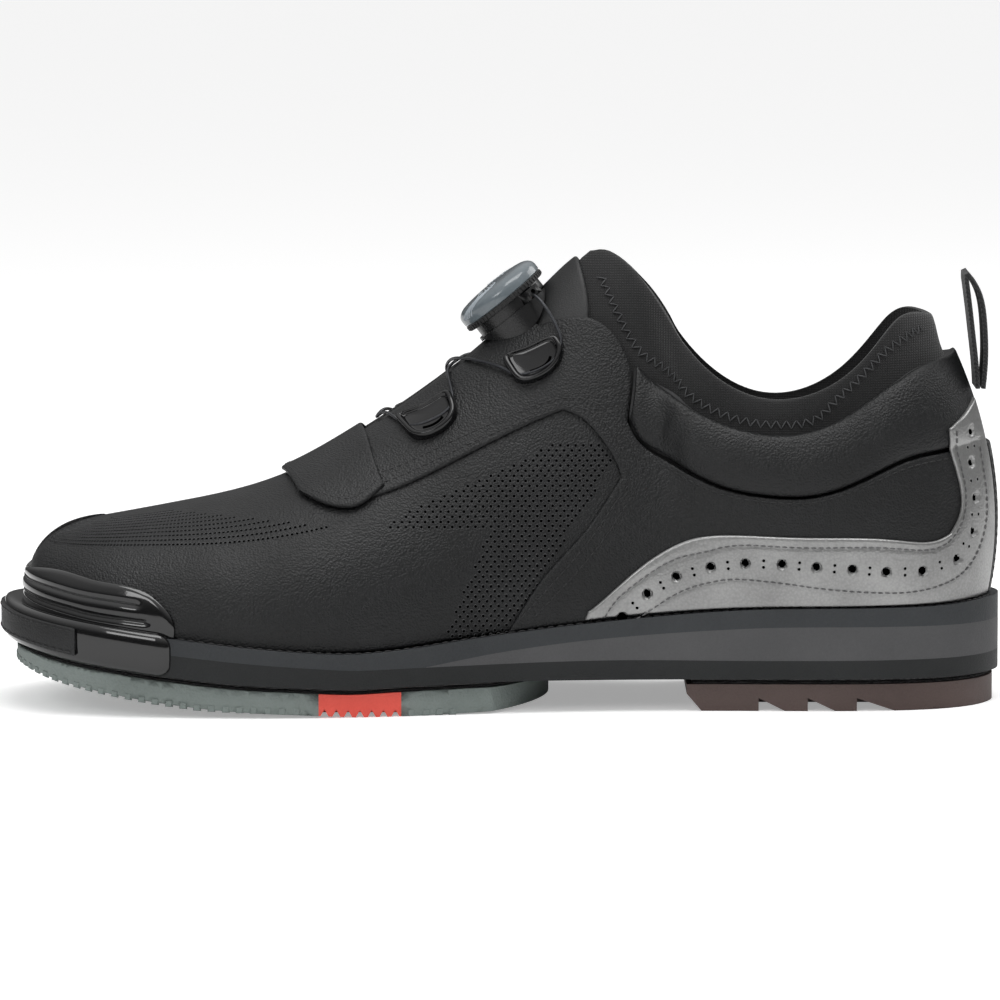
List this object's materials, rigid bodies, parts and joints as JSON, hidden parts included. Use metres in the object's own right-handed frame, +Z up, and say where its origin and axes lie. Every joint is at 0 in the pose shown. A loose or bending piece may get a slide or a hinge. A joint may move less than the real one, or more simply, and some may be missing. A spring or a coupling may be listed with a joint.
{
  "type": "bowling shoe",
  "caption": "Low leather athletic bowling shoe for the right foot, closed by a dial and cable, with a padded collar, an inner bootie, a toe guard and peel-off traction sole and heel",
  "frame": {"origin": "Middle of the shoe's outline seen from above, on the floor it stands on", "axes": "+X runs from the toe to the heel, +Y from the inner (medial) side to the outer (lateral) side, +Z up"},
  "size_m": [0.308, 0.1088, 0.1395],
  "materials": {
    "black_leather": "smooth grained leather with a soft sheen",
    "silver_leather": "metallic foil leather, fine grain",
    "drag_leather": "flat matte leather, abraded at the edge",
    "guard_gloss": "moulded, high gloss",
    "midsole_dark": "moulded foam, matte",
    "midsole_grey": "moulded foam, matte, lighter band",
    "midsole_welt": "moulded foam, matte, fine texture",
    "sole_grey": "textured rubber",
    "insert_red": "smooth coloured rubber",
    "heel_brown": "smooth rubber",
    "hook_loop": "fuzzy hook-and-loop",
    "bootie_knit": "matte stretch knit over thin foam",
    "collar_foam": "open cell foam",
    "footbed_foam": "foam footbed with a knit face",
    "board_fibre": "fibre board",
    "shank_steel": "spring steel strip",
    "stiffener": "thermoplastic sheet",
    "guide_gloss": "moulded cable guide, gloss",
    "dial_dark": "moulded, satin",
    "dial_smoke": "smoky translucent cap",
    "grip_rubber": "soft grip ring",
    "spool_nylon": "moulded nylon",
    "screw_steel": "turned steel",
    "lace_steel": "stranded steel cable with a dark nylon coat",
    "webbing": "woven webbing"
  },
  "bodies": {
    "shoe": {"midsole_base": "midsole_dark", "midsole_wedge": "midsole_grey", "midsole_welt": "midsole_welt", "shank": "shank_steel", "insole_board": "board_fibre", "footbed": "footbed_foam", "forefoot_loop_pad": "hook_loop", "heel_loop_pad": "hook_loop", "toe_bumper": "guard_gloss", "toe_drag_patch": "drag_leather", "vamp": "black_leather", "toe_puff": "stiffener", "toe_cap": "guard_gloss", "tongue": "black_leather", "quarter_medial": "black_leather", "quarter_lateral": "black_leather", "throat_patch": "black_leather", "collar_leather_medial": "black_leather", "collar_leather_lateral": "black_leather", "collar_foam": "collar_foam", "heel_counter": "stiffener", "heel_overlay_medial": "silver_leather", "heel_overlay_lateral": "silver_leather", "heel_stay": "black_leather", "bootie": "bootie_knit", "lace": "lace_steel", "lace_guide_upper_medial": "guide_gloss", "lace_guide_upper_lateral": "guide_gloss", "lace_guide_lower_medial": "guide_gloss", "lace_guide_lower_lateral": "guide_gloss", "dial_base": "dial_dark", "dial_housing": "dial_dark", "dial_screw": "screw_steel"},
    "reel": {"lace_spool": "spool_nylon"},
    "knob": {"dial_knob": "dial_dark", "dial_grip": "grip_rubber", "dial_cap": "dial_smoke"},
    "traction_sole": {"fore_hook_pad": "hook_loop", "fore_sole_toe": "sole_grey", "flex_insert": "insert_red", "fore_sole_rear": "sole_grey"},
    "heel_block": {"heel_hook_pad": "hook_loop", "heel_rubber": "heel_brown"},
    "pull_tab": {"pull_tab": "webbing"}
  },
  "joints": [
    {"name": "reel_spin", "type": "hinge", "parent": "shoe", "child": "reel", "pos_m": [0.00198, -0.00015, 0.12239], "axis": [-0.6293, 0, 0.7771], "continuous": true},
    {"name": "knob_lift", "type": "slide", "parent": "reel", "child": "knob", "axis": [-0.6293, 0, 0.7771], "range_m": [0, 0.0025]},
    {"name": "traction_sole_off", "type": "slide", "parent": "shoe", "child": "traction_sole", "axis": [0, 0, -1], "range_m": [0, 0.04]},
    {"name": "heel_block_off", "type": "slide", "parent": "shoe", "child": "heel_block", "axis": [0, 0, -1], "range_m": [0, 0.04]},
    {"name": "pull_tab_bend", "type": "hinge", "parent": "shoe", "child": "pull_tab", "pos_m": [0.1477, 0, 0.0968], "axis": [0, 1, 0], "range_deg": [-3, 20], "stiffness_Nm_per_rad": 0.01}
  ]
}
